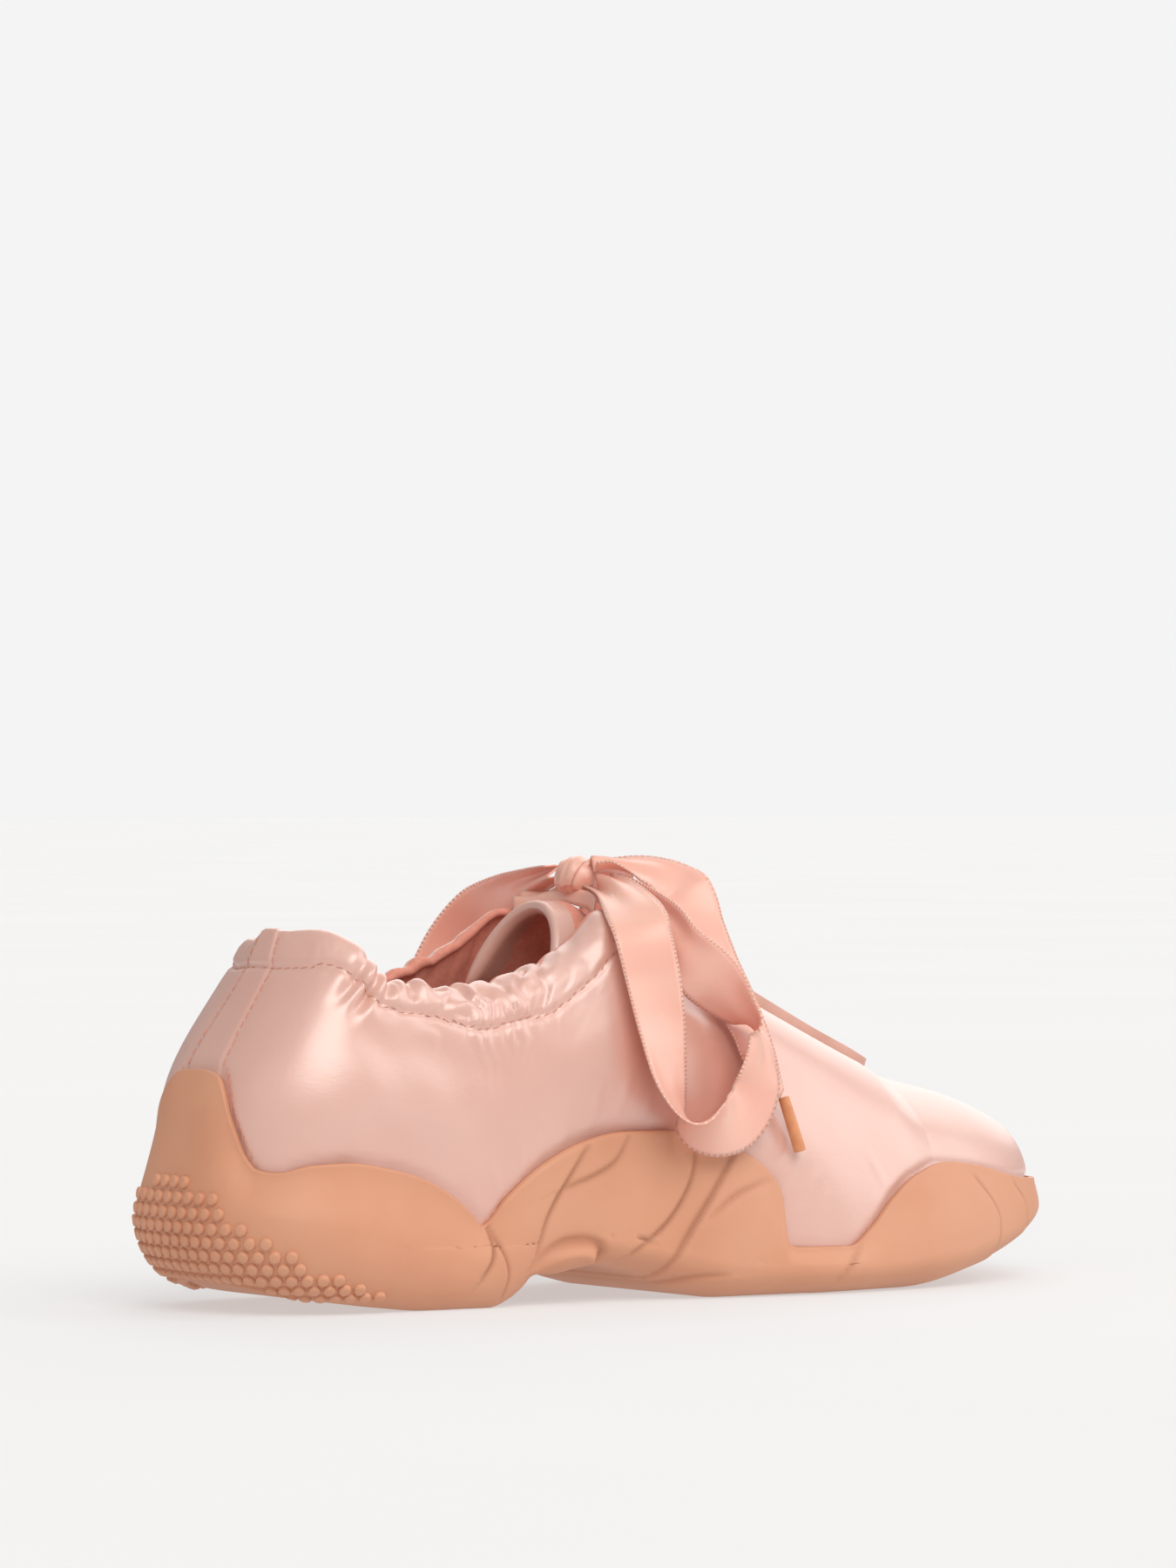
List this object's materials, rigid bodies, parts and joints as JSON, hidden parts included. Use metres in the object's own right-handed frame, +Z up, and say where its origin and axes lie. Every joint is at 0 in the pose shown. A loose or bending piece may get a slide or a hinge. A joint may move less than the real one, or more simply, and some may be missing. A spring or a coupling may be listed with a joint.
{
  "type": "sneaker",
  "caption": "Low satin sneaker for the right foot with a gathered elastic collar, a ribbon bow at the throat and a sculpted rubber sole.",
  "frame": {"origin": "middle of the shoe's plan, on the floor that it stands on", "axes": "+X towards the toe, +Y towards the inner side of the foot, +Z up"},
  "size_m": [0.2574, 0.1079, 0.1072],
  "materials": {
    "rubber": "matte",
    "satin": "satin",
    "lining": "matte",
    "suede": "matte",
    "ribbon": "satin",
    "tip": "matte"
  },
  "bodies": {
    "root": {"sole": "rubber", "upper": "satin", "insole": "lining", "tongue": "lining", "throat_tab": "suede", "ribbon_bridge": "ribbon", "ribbon_knot": "ribbon", "ribbon_loop_lateral": "ribbon", "ribbon_loop_medial": "ribbon", "ribbon_end_lateral": "ribbon", "ribbon_end_medial": "ribbon", "aglet_lateral": "tip", "aglet_medial": "tip"}
  },
  "joints": []
}
